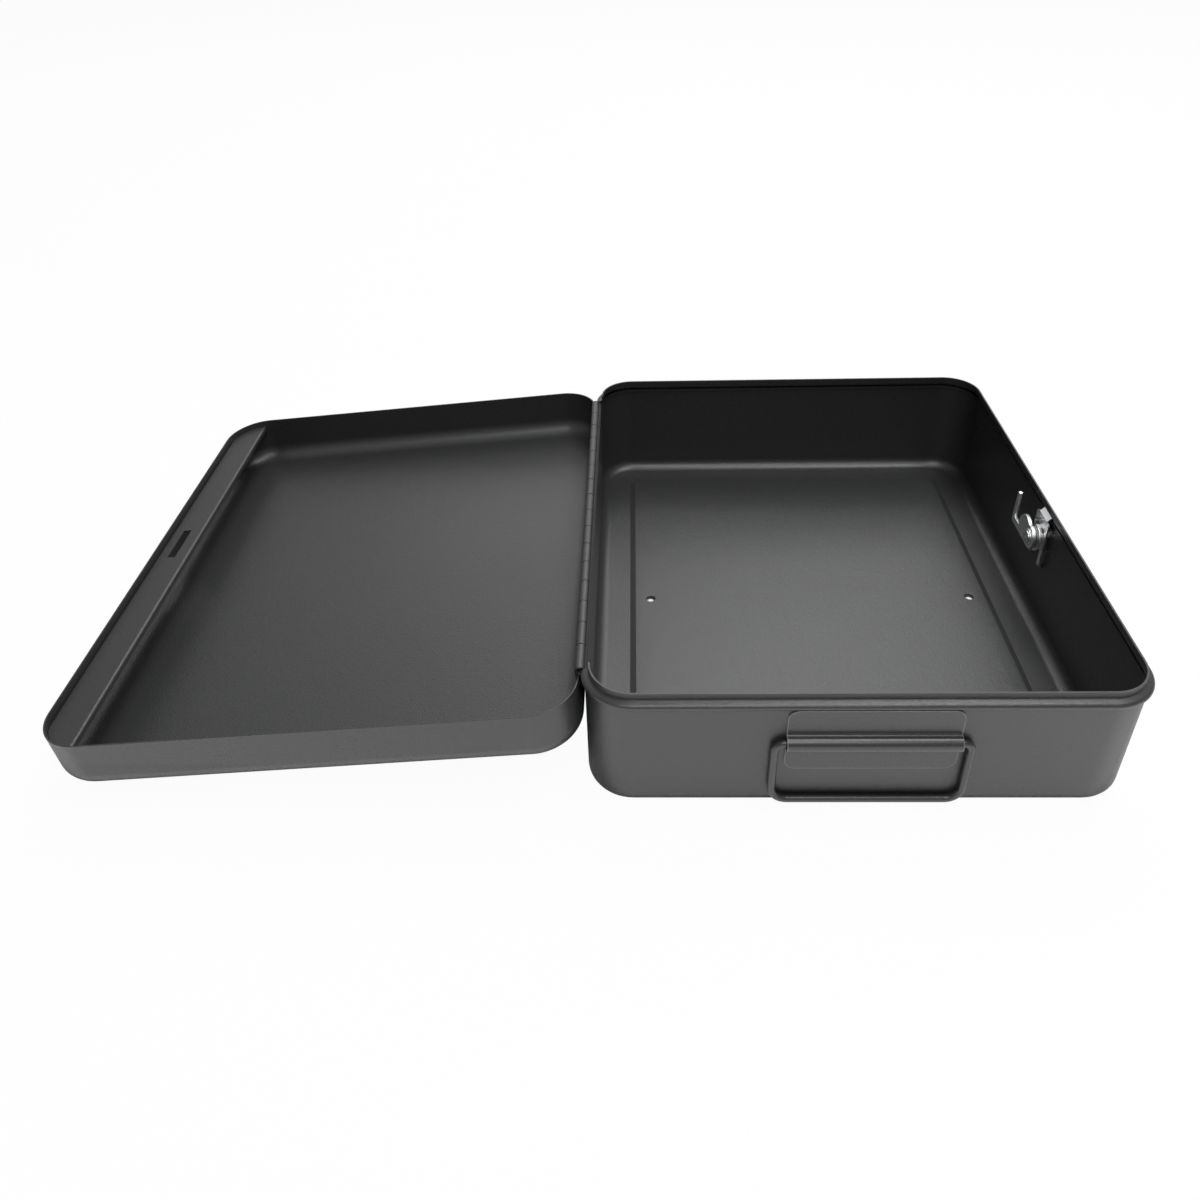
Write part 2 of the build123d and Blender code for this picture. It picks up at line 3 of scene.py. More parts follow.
import bmesh
import bpy
from mathutils import Matrix, Vector


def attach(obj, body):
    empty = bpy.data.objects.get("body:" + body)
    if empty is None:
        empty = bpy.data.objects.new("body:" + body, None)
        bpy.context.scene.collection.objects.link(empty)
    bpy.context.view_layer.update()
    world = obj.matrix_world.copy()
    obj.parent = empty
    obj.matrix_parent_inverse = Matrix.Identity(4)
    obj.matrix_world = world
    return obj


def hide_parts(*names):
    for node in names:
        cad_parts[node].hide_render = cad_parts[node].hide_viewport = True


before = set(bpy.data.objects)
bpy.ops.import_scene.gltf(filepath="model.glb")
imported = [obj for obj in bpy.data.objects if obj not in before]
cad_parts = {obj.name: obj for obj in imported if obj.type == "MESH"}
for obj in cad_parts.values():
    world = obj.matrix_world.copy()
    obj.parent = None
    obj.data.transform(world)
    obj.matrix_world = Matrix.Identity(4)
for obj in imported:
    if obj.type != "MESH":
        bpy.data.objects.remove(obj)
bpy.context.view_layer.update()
mm = 0.001

# ------------------------------------------------------------------ the camera
# It stands low in front of the box, a little to the hinge side, and looks down into both trays.

camera_place = (-0.108388, -0.503904, 0.410588)
camera_turn, camera_tilt, camera_roll = -2.228, -34.286, -1.767
focal_share, centre_x, centre_y = 1012.716, 604.98, 515.05
frame_side = 1200

bpy.ops.object.select_all(action="DESELECT")
bpy.ops.object.camera_add()
camera = bpy.context.object
camera.name = "studio_camera"
camera.matrix_world = (
    Matrix.Translation(camera_place)
    @ Matrix.Rotation(-radians(camera_turn), 4, "Z")
    @ Matrix.Rotation(radians(90 + camera_tilt), 4, "X")
    @ Matrix.Rotation(radians(camera_roll), 4, "Z")
)
camera.data.sensor_width = 36
camera.data.lens = 36 * focal_share / frame_side
camera.data.shift_x = (frame_side / 2 - centre_x) / frame_side
camera.data.shift_y = (centre_y - frame_side / 2) / frame_side
camera.data.clip_start = 0.01
bpy.context.scene.camera = camera

# ------------------------------------------------------------------ floor, world and lamps
# A white sweep under and behind the box. Eight soft square lamps hang round and over it, the
# strongest over the lock side, and two lie on the floor in front and face up.

bpy.context.scene.view_settings.view_transform = "Standard"


class Shade:
    """A socket in a material's node tree; arithmetic on it adds Math nodes."""

    def __init__(self, tree, socket=None):
        self.tree = tree
        self.socket = socket

    def node(self, kind, settings={}, inputs={}, output=0):
        """Adds a node with its settings and inputs, and gives back one of its outputs."""
        made = self.tree.nodes.new(kind)
        for name, value in settings.items():
            setattr(made, name, value)
        for name, value in inputs.items():
            if isinstance(value, Shade):
                self.tree.links.new(value.socket, made.inputs[name])
            else:
                made.inputs[name].default_value = value
        return Shade(self.tree, made.outputs[output]) if made.outputs else None

    def sum(self, kind, first, second):
        return self.node("ShaderNodeMath", {"operation": kind}, {0: first, 1: second})

    def ramp(self, value, low, high, at_low, at_high):
        """Maps `value` from low..high to at_low..at_high, and holds it outside."""
        ends = {"From Min": low, "From Max": high, "To Min": at_low, "To Max": at_high}
        return self.node("ShaderNodeMapRange", {}, {"Value": value, **ends})

    def blend(self, share, first, second):
        """Mixes two colours."""
        return self.node("ShaderNodeMix", {"data_type": "RGBA"}, {0: share, 6: first, 7: second}, 2)

    def __add__(self, other):
        return self.sum("ADD", self, other)

    def __radd__(self, other):
        return self.sum("ADD", other, self)

    def __sub__(self, other):
        return self.sum("SUBTRACT", self, other)

    def __rsub__(self, other):
        return self.sum("SUBTRACT", other, self)

    def __mul__(self, other):
        return self.sum("MULTIPLY", self, other)

    def __rmul__(self, other):
        return self.sum("MULTIPLY", other, self)


def new_material(name):
    """An empty material: its tree and its output node."""
    material = bpy.data.materials.new(name)
    material.use_nodes = True
    material.node_tree.nodes.clear()
    return material, Shade(material.node_tree)


def seen_directly(shade):
    """Three shares: 1 where the camera, a reflection or clear glass looks at the surface."""
    path = shade.tree.nodes.new("ShaderNodeLightPath")
    rays = ("Is Camera Ray", "Is Glossy Ray", "Is Transmission Ray")
    return [Shade(shade.tree, path.outputs[ray]) for ray in rays]


# the floor
bpy.ops.mesh.primitive_plane_add(size=6, location=(0, 0.6, -0.0002))
floor = bpy.context.object
floor.name = "studio_floor"
bpy.ops.object.transform_apply(location=True, rotation=True, scale=True)
floor_white, shade = new_material("floor_white")
camera_ray, _, clear_ray = seen_directly(shade)
paper = shade.node("ShaderNodeBsdfDiffuse", {}, {"Color": (0.9, 0.9, 0.9, 1)})
glow = shade.node("ShaderNodeEmission", {}, {"Color": (1, 1, 1, 1), "Strength": 1.0})
spot = shade.node("ShaderNodeTexCoord", output=3)
across = shade.node("ShaderNodeSeparateXYZ", {}, {"Vector": spot}, 0)
along = shade.node("ShaderNodeSeparateXYZ", {}, {"Vector": spot}, 1)
covered_half = (0.12, 0.147)
under = shade.sum("LESS_THAN", shade.sum("ABSOLUTE", across, 0), covered_half[0])
under = under * shade.sum("LESS_THAN", shade.sum("ABSOLUTE", along, 0), covered_half[1])
white_share = (camera_ray * 0.96 + clear_ray * 0.9) * (1 - under * 0.75)
mixed = shade.node("ShaderNodeMixShader", {}, {0: white_share, 1: paper, 2: glow})
shade.node("ShaderNodeOutputMaterial", {}, {"Surface": mixed})
floor.data.materials.append(floor_white)

# the world: white to the camera, less than half of that in a reflection, and dark as a lamp
world = bpy.data.worlds.new("studio_world")
bpy.context.scene.world = world
world.use_nodes = True
world.node_tree.nodes.clear()
sky = Shade(world.node_tree)
camera_ray, glossy_ray, clear_ray = seen_directly(sky)
strength = camera_ray + clear_ray + glossy_ray * 0.4
background = sky.node("ShaderNodeBackground", {}, {"Color": (1, 1, 1, 1), "Strength": strength})
sky.node("ShaderNodeOutputWorld", {}, {"Surface": background})

# the lamps overhead, all aimed at the box: place and power
for name, place, power in (
    ("lamp_lock_side", (0.621, 0.0, 2.318), 28.2),
    ("lamp_camera_side", (0.0, -1.272, 2.035), 18.1),
    ("lamp_behind_high", (0.111, 1.267, 2.035), 12.5),
    ("lamp_behind", (0.445, 1.784, 1.543), 5.2),
    ("lamp_behind_right", (1.182, 1.408, 1.543), 3.1),
    ("lamp_behind_left", (-0.919, 1.592, 1.543), 1.9),
    ("lamp_low_behind_left", (-0.463, 2.177, 0.899), 3.0),
    ("lamp_low_behind_right", (1.276, 1.823, 0.899), 1.7),
):
    bpy.ops.object.light_add(type="AREA", location=place)
    lamp = bpy.context.object
    lamp.name = name
    lamp.rotation_euler = Vector(place).to_track_quat("Z", "Y").to_euler()
    lamp.data.size = 0.9
    lamp.data.energy = power

# and two that lie on the floor in front and face up, for the light that a white sweep gives back
for name, place, side, power in (
    ("lamp_sweep", (-0.25, -0.5425, 0.001), (1.7, 0.755), 2.8),
    ("lamp_sweep_left", (-0.7, -0.55, 0.001), (0.8, 0.74), 1.0),
):
    bpy.ops.object.light_add(type="AREA", location=place, rotation=(pi, 0, 0))
    lamp = bpy.context.object
    lamp.name = name
    lamp.visible_camera = False
    lamp.data.shape = "RECTANGLE"
    lamp.data.size, lamp.data.size_y = side
    lamp.data.energy = power

# ------------------------------------------------------------------ base tray
# One blank of 0.9 mm steel, deep-drawn with rounded corners and powder-coated in charcoal.
# A bead is rolled out below the rim, the collar above it steps in to take the lid, and the
# floor panel is pressed up 1 mm, with two dished fixing holes.

sheet = 0.9 * mm
base_width, base_length, base_height = 270 * mm, 325 * mm, 75 * mm
base_corner, base_edge = 23.5 * mm, 8 * mm
bead_low, bead_top, bead_out = 66.8 * mm, 70.6 * mm, 2 * mm
collar_in = 1.9 * mm
hinge_half = 138 * mm
panel_half = (113.5 * mm, 143.5 * mm)
panel_rise, panel_slope = 1.3 * mm, 3.8 * mm
hole_x, hole_radius, dish_wide = 100.5 * mm, 2.1 * mm, 1.5 * mm
lock_y, lock_z = -4.5 * mm, 51.5 * mm


def pick(piece, kind, test):
    """In edit mode, selects only the VERT, EDGE or FACE items whose middle and item pass a test."""
    bpy.ops.mesh.select_mode(type=kind)
    bpy.ops.mesh.select_all(action="DESELECT")
    shape = bmesh.from_edit_mesh(piece.data)
    items = {"VERT": shape.verts, "EDGE": shape.edges, "FACE": shape.faces}[kind]
    for item in items:
        corners = [item] if kind == "VERT" else item.verts
        middle = sum((c.co for c in corners), Vector()) / len(corners)
        if test(middle, item):
            item.select_set(True)
    shape.select_flush_mode()
    bmesh.update_edit_mesh(piece.data)


def start_box(name, width, length, height, place=(0, 0, 0)):
    """A plain box standing on z = 0, open for editing."""
    bpy.ops.object.select_all(action="DESELECT")
    bpy.ops.mesh.primitive_cube_add(size=1, location=(place[0], place[1], place[2] + height / 2))
    box = bpy.context.object
    box.name = name
    box.scale = (width, length, height)
    bpy.ops.object.transform_apply(location=True, rotation=True, scale=True)
    bpy.ops.object.mode_set(mode="EDIT")
    return box


def draw_wall(out, up):
    """Draws the selected open edge up and outwards, as the next ring of the wall."""
    bpy.ops.mesh.extrude_edges_move(TRANSFORM_OT_translate={"value": (0, 0, 1 * mm)})
    bpy.ops.transform.shrink_fatten(value=out, use_even_offset=True)
    bpy.ops.transform.translate(value=(0, 0, up - 1 * mm))


def modify(piece, kind, **settings):
    """Adds a modifier and applies it."""
    modifier = piece.modifiers.new(kind.lower(), kind)
    for name, value in settings.items():
        setattr(modifier, name, value)
    bpy.ops.object.select_all(action="DESELECT")
    piece.select_set(True)
    bpy.context.view_layer.objects.active = piece
    bpy.ops.object.modifier_apply(modifier=modifier.name)


def finish_piece(piece, material, body, *nodes, slot="powder_coat", angle=35):
    """Smooths the piece, gives it its material and lets it stand for its CAD nodes."""
    bpy.ops.object.select_all(action="DESELECT")
    piece.select_set(True)
    bpy.context.view_layer.objects.active = piece
    bpy.ops.object.shade_smooth_by_angle(angle=radians(angle))
    modify(piece, "WEIGHTED_NORMAL", mode="FACE_AREA_WITH_ANGLE", keep_sharp=True)
    piece.data.materials.clear()
    piece.data.materials.append(material)
    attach(piece, body)
    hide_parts(*nodes)


def powder_coat(name, tone, grain=1.0, roughness=0.36, mark=None, mark_tone=0.0, mark_rough=0.0):
    """Charcoal powder coat: a fine pebbled skin over a faint orange peel, with a few paler flecks.

    `mark` gives a 0 to 1 mask from the place, where the coat has `mark_tone` times its tone and
    is rougher by `mark_rough`. The masks given to it paint light into the colour: painted shade on
    the base's cut edge and a painted highlight round the handle plate.
    """
    material, shade = new_material(name)
    place = shade.node("ShaderNodeTexCoord", output=3)
    broad = shade.node("ShaderNodeTexNoise", {}, {"Vector": place, "Scale": 11.0, "Detail": 3.0})
    peel = shade.node("ShaderNodeTexNoise", {}, {"Vector": place, "Scale": 260.0, "Detail": 1.0})
    skin_inputs = {"Vector": place, "Scale": 1150.0, "Detail": 2.0, "Roughness": 0.6}
    skin = shade.node("ShaderNodeTexNoise", {}, skin_inputs)
    cell = shade.node("ShaderNodeTexVoronoi", {}, {"Vector": place, "Scale": 1500.0})
    near = shade.ramp(cell, 0.10, 0.24, 1.0, 0.0)
    lifted = shade.ramp(skin, 0.52, 0.62, 0.0, 1.0)
    dark = tuple(0.84 * c for c in tone) + (1,)
    pale = tuple(1.16 * c for c in tone) + (1,)
    fleck = tuple(3.0 * c for c in tone) + (1,)
    ground = shade.blend(broad * 0.5 + skin * 0.5, dark, pale)
    colour = shade.blend(near * lifted * 0.6, ground, fleck)
    rough = skin * 0.2 + (roughness - 0.1)
    if mark:
        share = mark(shade, place)
        marked = tuple(mark_tone * c for c in tone) + (1,)
        colour = shade.blend(share, colour, marked)
        rough = rough + share * mark_rough
    bump = shade.node(
        "ShaderNodeBump", {}, {"Height": skin + peel * 0.35, "Strength": 0.5 * grain, "Distance": 0.0002}
    )
    coat = shade.node(
        "ShaderNodeBsdfPrincipled",
        {},
        {"Base Color": colour, "Roughness": rough, "Normal": bump, "IOR": 1.56},
    )
    shade.node("ShaderNodeOutputMaterial", {}, {"Surface": coat})
    return material


charcoal = (0.0295, 0.0305, 0.030)


def painted_shade_by_barrel(shade, place):
    """Painted shade: the cut edge of the wall below the barrel, darkened in colour for the shade the barrel
    throws there, and made rougher.
    """
    across, along, up = [shade.node("ShaderNodeSeparateXYZ", {}, {"Vector": place}, k) for k in range(3)]
    near_hinge = shade.sum("LESS_THAN", across, -base_width / 2 + 1.3 * mm)
    within = shade.sum("LESS_THAN", shade.sum("ABSOLUTE", along, 0), hinge_half)
    return near_hinge * within * shade.sum("GREATER_THAN", up, bead_low - 1 * mm)


# the base coat carries painted shade on the wall's cut edge along the hinge, where the barrel shades it
base_paint = powder_coat(
    "base_powder_coat", charcoal, grain=1.5, mark=painted_shade_by_barrel, mark_tone=0.3, mark_rough=0.45
)

base_tray = start_box("base_tray", base_width, base_length, bead_low - 0.9 * mm)
pick(base_tray, "EDGE", lambda p, e: abs(e.verts[0].co.z - e.verts[1].co.z) > 0.01)
bpy.ops.mesh.bevel(offset=base_corner, segments=16, profile=0.5, affect="EDGES")
pick(base_tray, "EDGE", lambda p, e: p.z < 0.1 * mm)
bpy.ops.mesh.bevel(offset=base_edge, segments=8, profile=0.5, affect="EDGES")
pick(base_tray, "FACE", lambda p, f: abs(f.normal.z) > 0.999)
bpy.ops.mesh.delete(type="FACE")

# the wall above: bead, web and collar
wall_end = bead_low - 0.9 * mm
pick(base_tray, "EDGE", lambda p, e: p.z > wall_end - 0.01 * mm)
bead_middle = (bead_low + bead_top) / 2
half_bead = (bead_top - bead_low) / 2
crease = 0.45 * mm
rings = [
    (-crease, wall_end + 0.4 * mm),
    (-crease, bead_low - 0.1 * mm),
    (0.3 * mm, bead_low + 0.06 * mm),
]
for step in range(1, 8):
    turn = radians(-90 + 180 * (step + 0.6) / 8.6)
    rings.append((bead_out * cos(turn), bead_middle + half_bead * sin(turn)))
rings += [
    (0.25 * mm, bead_top),
    (-collar_in + 0.45 * mm, bead_top + 0.5 * mm),
    (-collar_in + 0.1 * mm, bead_top + 0.62 * mm),
    (-collar_in, bead_top + 0.9 * mm),
    (-collar_in, base_height),
]
last = (0, wall_end)
for ring in rings:
    draw_wall(ring[0] - last[0], ring[1] - last[1])
    last = ring

# the floor panel with its two dished holes
bpy.ops.object.mode_set(mode="OBJECT")
bpy.ops.object.select_all(action="DESELECT")
bpy.ops.mesh.primitive_plane_add(size=2, location=(0, 0, 0))
panel = bpy.context.object
panel.scale = (panel_half[0], panel_half[1], 1)
bpy.ops.object.transform_apply(location=True, rotation=True, scale=True)
bpy.ops.object.mode_set(mode="EDIT")
bpy.ops.mesh.select_all(action="SELECT")
bpy.ops.mesh.bevel(offset=7 * mm, segments=6, affect="VERTICES")
pick(panel, "FACE", lambda p, f: True)
bpy.ops.mesh.inset(thickness=panel_slope * 0.08, depth=0.04 * mm)
bpy.ops.mesh.inset(thickness=panel_slope * 0.84, depth=panel_rise - 0.08 * mm)
bpy.ops.mesh.inset(thickness=panel_slope * 0.08, depth=0.04 * mm)
bpy.ops.mesh.delete(type="ONLY_FACE")
for side in (-1, 1):
    bpy.ops.mesh.primitive_circle_add(
        vertices=40,
        radius=hole_radius + dish_wide,
        location=(side * hole_x, 0, panel_rise),
        fill_type="NOTHING",
    )
pick(panel, "EDGE", lambda p, e: p.z > panel_rise - 0.01 * mm and len(e.link_faces) < 2)
bpy.ops.mesh.fill()
for side in (-1, 1):
    middle = Vector((side * hole_x, 0, 0))
    pick(panel, "EDGE", lambda p, e: len(e.link_faces) == 1 and (p - middle).xy.length < 5 * mm)
    radius = hole_radius + dish_wide
    for narrower, drop in ((0.1, 0.05), (0.5, panel_rise / mm - 0.1), (0.1, 0.05), (0.8, 0)):
        bpy.ops.mesh.extrude_edges_move(TRANSFORM_OT_translate={"value": (0, 0, -drop * mm)})
        share = 1 - narrower * mm / radius
        bpy.ops.transform.resize(value=(share, share, 1), center_override=middle)
        radius *= share
bpy.ops.object.mode_set(mode="OBJECT")
bpy.ops.object.select_all(action="DESELECT")
panel.select_set(True)
base_tray.select_set(True)
bpy.context.view_layer.objects.active = base_tray
bpy.ops.object.join()
bpy.ops.object.mode_set(mode="EDIT")
clear_of_holes = 8 * mm
pick(
    base_tray,
    "EDGE",
    lambda p, e: abs(p.z) < 0.001 * mm
    and len(e.link_faces) == 1
    and abs(abs(p.x) - hole_x) + abs(p.y) > clear_of_holes,
)
bpy.ops.mesh.fill()
bpy.ops.mesh.select_all(action="SELECT")
bpy.ops.mesh.remove_doubles(threshold=0.001 * mm)
bpy.ops.mesh.normals_make_consistent(inside=False)

# along the hinge the bead is pressed flat, so the barrel can lie there
for side in (-1, 1):
    for gap in (0.3, 0.9):
        pick(base_tray, "FACE", lambda p, f: f.calc_center_median().z > bead_low - 1 * mm)
        bpy.ops.mesh.bisect(plane_co=(0, side * (hinge_half + gap * mm), 0), plane_no=(0, 1, 0))
pick(
    base_tray,
    "VERT",
    lambda p, v: p.x < -base_width / 2 - 0.001 * mm
    and abs(p.y) < hinge_half + 0.5 * mm
    and p.z > bead_low - 1 * mm,
)
bpy.ops.transform.resize(value=(0, 1, 1), center_override=(-base_width / 2, 0, 0))

# and the collar is cut away there, down to the plain wall
cut_level = bead_top - sheet
pick(
    base_tray,
    "FACE",
    lambda p, f: f.calc_center_median().z > bead_low - 1 * mm and p.x < -base_width / 2 + 6 * mm,
)
bpy.ops.mesh.bisect(plane_co=(0, 0, cut_level), plane_no=(0, 0, 1))
pick(
    base_tray,
    "FACE",
    lambda p, f: p.z > cut_level and p.x < -base_width / 2 + 3 * mm and abs(p.y) < hinge_half + 0.3 * mm,
)
bpy.ops.mesh.delete(type="FACE")
bpy.ops.object.mode_set(mode="OBJECT")
modify(base_tray, "SOLIDIFY", thickness=sheet, offset=-1, use_even_offset=True, use_rim=True)

# the lock's hole: round with two flats
lock_hole_radius, lock_hole_flat = 8.1 * mm, 7.1 * mm
bpy.ops.object.select_all(action="DESELECT")
bpy.ops.mesh.primitive_cylinder_add(
    vertices=64,
    radius=lock_hole_radius,
    depth=6 * mm,
    location=(base_width / 2, lock_y, lock_z),
    rotation=(0, pi / 2, 0),
)
punch = bpy.context.object
bpy.ops.object.transform_apply(location=True, rotation=True, scale=True)
bpy.ops.object.mode_set(mode="EDIT")
for side in (-1, 1):
    bpy.ops.mesh.select_all(action="SELECT")
    flat_y = lock_y + side * lock_hole_flat
    bpy.ops.mesh.bisect(plane_co=(0, flat_y, 0), plane_no=(0, side, 0), clear_outer=True, use_fill=True)
bpy.ops.object.mode_set(mode="OBJECT")
modify(base_tray, "BOOLEAN", object=punch, operation="DIFFERENCE", solver="EXACT")
bpy.data.objects.remove(punch)
modify(base_tray, "BEVEL", limit_method="ANGLE", angle_limit=radians(60), width=0.16 * mm, segments=2)
finish_piece(base_tray, base_paint, "base", "base_shell")

# ------------------------------------------------------------------ lid tray
# The same steel and coat as the base, drawn shallower, with a plain cut rim.
# It lies open on its hinge, five degrees past flat.

lid_width, lid_length, lid_depth = 274 * mm, 329 * mm, 32 * mm
lid_corner, lid_edge = 25.5 * mm, 11.5 * mm
hinge_x, hinge_z = -137.5 * mm, 68.8 * mm
lid_rim = -2.7 * mm
lid_lean = radians(5)
lid_frame = Matrix.Translation((hinge_x, 0, hinge_z)) @ Matrix.Rotation(-lid_lean, 4, "Y")
lid_paint = powder_coat("lid_powder_coat", charcoal, grain=1.5)

lid_tray = start_box(
    "lid_tray", lid_width, lid_length, lid_depth, (-0.6 * mm - lid_width / 2, 0, lid_rim - lid_depth)
)
pick(lid_tray, "EDGE", lambda p, e: abs(e.verts[0].co.z - e.verts[1].co.z) > 0.01)
bpy.ops.mesh.bevel(offset=lid_corner, segments=18, profile=0.5, affect="EDGES")
pick(lid_tray, "EDGE", lambda p, e: p.z < lid_rim - lid_depth + 0.01 * mm)
bpy.ops.mesh.bevel(offset=lid_edge, segments=10, profile=0.5, affect="EDGES")
pick(lid_tray, "FACE", lambda p, f: f.normal.z > 0.999)
bpy.ops.mesh.delete(type="FACE")
bpy.ops.object.mode_set(mode="OBJECT")
modify(lid_tray, "SOLIDIFY", thickness=sheet, offset=-1, use_even_offset=True, use_rim=True)
modify(lid_tray, "BEVEL", limit_method="ANGLE", angle_limit=radians(60), width=0.16 * mm, segments=2)
lid_tray.matrix_world = lid_frame
bpy.ops.object.transform_apply(location=True, rotation=True, scale=True)
finish_piece(lid_tray, lid_paint, "lid", "lid_shell")

# ------------------------------------------------------------------ hinge
# A piano hinge of the same coated sheet, its tone painted a little lighter as a painted highlight: two leaves
# curled into sixteen knuckles round a steel pin.

# a slightly lighter copy of the charcoal coat: a painted highlight for the light the hinge's barrel catches
hinge_lit_coat = powder_coat("hinge_lit_powder_coat", (0.035, 0.036, 0.0355), grain=0.6, roughness=0.38)
for node in ("hinge_leaf_base", "hinge_leaf_lid"):
    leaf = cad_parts[node]
    leaf.data.materials.clear()
    leaf.data.materials.append(hinge_lit_coat)


def bare_metal(name, tone, roughness):
    """Plated or drawn metal with a faint cloudy tarnish and fine handling scratches."""
    material, shade = new_material(name)
    place = shade.node("ShaderNodeTexCoord", output=3)
    cloud = shade.node("ShaderNodeTexNoise", {}, {"Vector": place, "Scale": 240.0, "Detail": 4.0})
    scratch_place = shade.node("ShaderNodeMapping", {}, {"Vector": place, "Scale": (1.0, 9.0, 1.0)})
    scratch = shade.node("ShaderNodeTexNoise", {}, {"Vector": scratch_place, "Scale": 900.0, "Detail": 2.0})
    dark = tuple(0.8 * c for c in tone) + (1,)
    pale = tuple(min(1, 1.08 * c) for c in tone) + (1,)
    colour = shade.blend(cloud, dark, pale)
    bump = shade.node("ShaderNodeBump", {}, {"Height": scratch, "Strength": 0.12, "Distance": 0.0001})
    metal = shade.node(
        "ShaderNodeBsdfPrincipled",
        {},
        {"Base Color": colour, "Metallic": 1.0, "Roughness": cloud * 0.2 + (roughness - 0.1), "Normal": bump},
    )
    shade.node("ShaderNodeOutputMaterial", {}, {"Surface": metal})
    return material


pin_steel = bare_metal("pin_steel", (0.42, 0.42, 0.43), 0.4)
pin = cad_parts["hinge_pin"]
pin.data.materials.clear()
pin.data.materials.append(pin_steel)

# ------------------------------------------------------------------ lock strip
# A folded channel of coated sheet, welded inside the lock side of the lid; the cam's hook
# passes through its slot.

strip_paint = powder_coat("strip_powder_coat", charcoal)
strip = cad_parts["lock_strip"]
strip.data.materials.clear()
strip.data.materials.append(strip_paint)

# ------------------------------------------------------------------ handle plate
# A steel plate welded to the short wall, with a channel rolled across its middle for the bail.

plate_side = 3 * mm
plate_width, plate_low, plate_high = 83 * mm, 27.5 * mm, 66.5 * mm
plate_face, plate_sheet, plate_corner = -163.5 * mm, 1 * mm, 6 * mm
roll_y, roll_z, roll_radius = -164.8 * mm, 46.5 * mm, 4.2 * mm
foot = 1.2 * mm


def painted_highlight_rim(shade, place):
    """Painted highlight: the outline of the plate, a rounded rectangle, painted pale for the light its edges
    catch.
    """
    reach = (plate_width / 2 - plate_corner, (plate_high - plate_low) / 2 - plate_corner)
    middle = (plate_side, (plate_high + plate_low) / 2)
    beyond = []
    for k, axis in ((0, 0), (1, 2)):
        along = shade.node("ShaderNodeSeparateXYZ", {}, {"Vector": place}, axis)
        beyond.append(shade.sum("ABSOLUTE", along - middle[k], 0) - reach[k])
    outside = [shade.sum("MAXIMUM", part, 0) for part in beyond]
    corner = shade.sum("SQRT", outside[0] * outside[0] + outside[1] * outside[1], 0)
    inside = shade.sum("MINIMUM", shade.sum("MAXIMUM", beyond[0], beyond[1]), 0)
    ripple = shade.node("ShaderNodeTexNoise", {}, {"Vector": place, "Scale": 420.0, "Detail": 3.0})
    edge = corner + inside - plate_corner + ripple * 0.5 * mm
    return shade.ramp(edge, -0.35 * mm, 0.25 * mm, 0.0, 1.0)


# the plate's outline is painted pale: a painted highlight along its edges
plate_paint = powder_coat(
    "plate_powder_coat",
    (0.029, 0.030, 0.0295),
    grain=0.2,
    roughness=0.3,
    mark=painted_highlight_rim,
    mark_tone=7.0,
)

foot_y = plate_face - foot
foot_rise = ((roll_radius + foot) ** 2 - (foot_y - roll_y) ** 2) ** 0.5
lean = atan((foot_y - roll_y) / foot_rise)
bpy.ops.object.select_all(action="DESELECT")
flat_middle = (plate_high + roll_z + foot_rise) / 2
bpy.ops.mesh.primitive_plane_add(size=1, location=(plate_side, plate_face, flat_middle))
plate = bpy.context.object
plate.name = "pressed_handle_plate"
plate.rotation_euler = (pi / 2, 0, 0)
plate.scale = (plate_width, plate_high - roll_z - foot_rise, 1)
bpy.ops.object.transform_apply(location=True, rotation=True, scale=True)
bpy.ops.object.mode_set(mode="EDIT")
pick(plate, "EDGE", lambda p, e: p.z < roll_z + foot_rise + 0.01 * mm)
foot_middle = (plate_side, foot_y, roll_z + foot_rise)
bpy.ops.mesh.spin(steps=5, angle=pi / 2 + lean, center=foot_middle, axis=(1, 0, 0))
bpy.ops.mesh.spin(steps=20, angle=pi + 2 * lean, center=(plate_side, roll_y, roll_z), axis=(-1, 0, 0))
foot_middle = (plate_side, foot_y, roll_z - foot_rise)
bpy.ops.mesh.spin(steps=5, angle=pi / 2 + lean, center=foot_middle, axis=(1, 0, 0))
bpy.ops.mesh.extrude_edges_move(TRANSFORM_OT_translate={"value": (0, 0, plate_low - roll_z + foot_rise)})
pick(plate, "VERT", lambda p, v: min(abs(p.z - plate_low), abs(p.z - plate_high)) < 0.01 * mm)
bpy.ops.mesh.bevel(offset=plate_corner, segments=8, affect="VERTICES")
bpy.ops.mesh.select_all(action="SELECT")
bpy.ops.mesh.remove_doubles(threshold=0.001 * mm)
bpy.ops.mesh.normals_make_consistent(inside=False)
shape = bmesh.from_edit_mesh(plate.data)
turned = sum(face.normal.y * face.calc_area() for face in shape.faces) > 0
if turned:
    bpy.ops.mesh.flip_normals()
bpy.ops.object.mode_set(mode="OBJECT")
modify(plate, "SOLIDIFY", thickness=plate_sheet, offset=-1, use_even_offset=True, use_rim=True)
modify(plate, "BEVEL", limit_method="ANGLE", angle_limit=radians(60), width=0.2 * mm, segments=2)
finish_piece(plate, plate_paint, "base", "handle_plate")

# ------------------------------------------------------------------ bail handle
# Round wire bent to a closed loop and coated; it hangs in the plate's channel.

bail_paint = powder_coat("bail_powder_coat", (0.028, 0.029, 0.0285), grain=0.5, roughness=0.36)
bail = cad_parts["bail_handle"]
bail.data.materials.clear()
bail.data.materials.append(bail_paint)

# ------------------------------------------------------------------ cam lock
# A die-cast housing held through the wall by a sprung clip; the plug turns the hooked cam.

